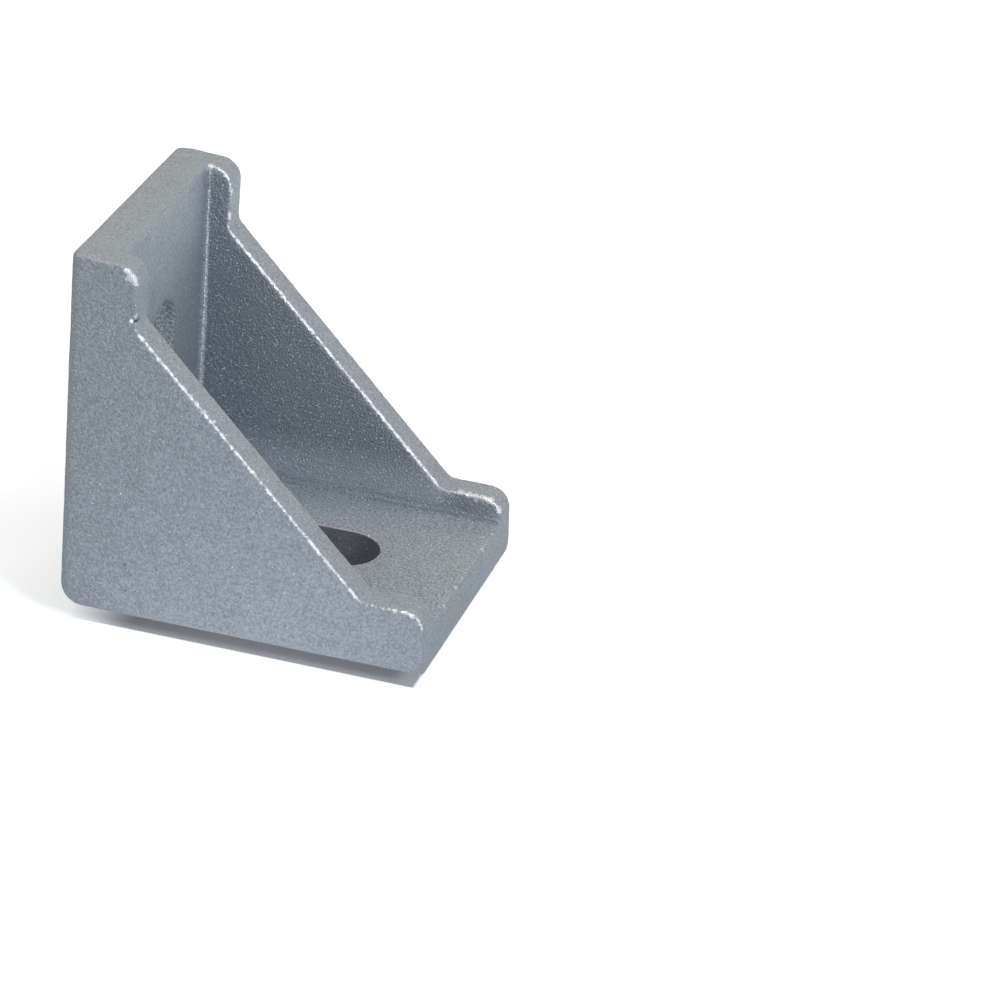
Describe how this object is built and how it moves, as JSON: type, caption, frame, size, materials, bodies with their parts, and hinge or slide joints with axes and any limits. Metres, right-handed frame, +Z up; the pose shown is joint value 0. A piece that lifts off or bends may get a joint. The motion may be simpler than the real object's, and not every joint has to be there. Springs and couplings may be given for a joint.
{
  "type": "t slot corner bracket",
  "caption": "Cast right-angle bracket with slotted mounting plates joined by a triangular wall on each side and groove lugs on the mounting faces.",
  "frame": {"origin": "middle of the foot's mounting face, half way along the leg and across the width", "axes": "+Z up, away from the surface that the foot is fastened to; +X from the heel towards the foot's tip; Y across the width. The heel corner where the two mounting planes meet is at X -17.5 mm, Z 0."},
  "size_m": [0.037, 0.028, 0.037],
  "materials": {
    "cast_aluminium": "bare casting, blasted to a fine matt grain, edges worn bright"
  },
  "bodies": {
    "root": {"corner_bracket": "cast_aluminium"}
  },
  "joints": []
}
